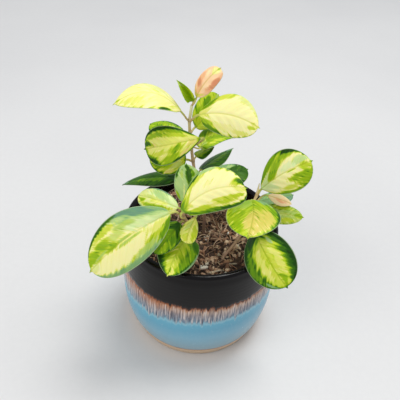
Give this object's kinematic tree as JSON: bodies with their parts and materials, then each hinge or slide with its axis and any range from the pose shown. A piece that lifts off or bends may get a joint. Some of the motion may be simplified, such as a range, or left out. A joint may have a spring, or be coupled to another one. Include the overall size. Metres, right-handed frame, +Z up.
{
  "type": "potted variegated hoya australis",
  "caption": "Young trailing wax plant with thick round cream, green and pink leaves on upright wiry stems, in a bulging glazed stoneware pot filled with bark and coir soil.",
  "frame": {"origin": "centre of the pot's flat foot, on the surface it stands on", "axes": "+Z up along the pot's axis, -Y towards the front of the plant, +X to the right seen from the front"},
  "size_m": [0.1574, 0.1373, 0.2335],
  "materials": {
    "glazed_pot": "glossy black-brown glaze over the rim and shoulder, running in ragged drips into turquoise and pale blue below, bare at the foot",
    "soil": "loose dark bark chips, coir and a few pale mineral bits",
    "stem": "thin smooth pinkish-tan bark, greener towards the tips",
    "leaf": "waxy satin leaf skin, cream and yellow in the middle with bright and dark green margins",
    "young_leaf": "waxy satin leaf skin, pink to peach"
  },
  "bodies": {
    "root": {"pot": "glazed_pot", "soil": "soil", "stem_tall": "stem", "stem_right": "stem", "stem_left": "stem", "leaf_tall_01": "young_leaf", "leaf_tall_02": "leaf", "leaf_tall_03": "leaf", "leaf_tall_04": "leaf", "leaf_tall_05": "leaf", "leaf_tall_06": "leaf", "leaf_tall_07": "leaf", "leaf_tall_08": "leaf", "leaf_tall_09": "leaf", "leaf_tall_10": "leaf", "leaf_tall_11": "leaf", "leaf_tall_12": "leaf", "leaf_tall_13": "leaf", "leaf_left_01": "leaf", "leaf_left_02": "leaf", "leaf_left_03": "leaf", "leaf_left_04": "leaf", "leaf_left_05": "leaf", "leaf_left_06": "leaf", "leaf_left_07": "leaf", "leaf_right_01": "leaf", "leaf_right_02": "young_leaf", "leaf_right_03": "leaf", "leaf_right_04": "leaf", "leaf_right_05": "leaf", "leaf_right_06": "leaf"}
  },
  "joints": []
}
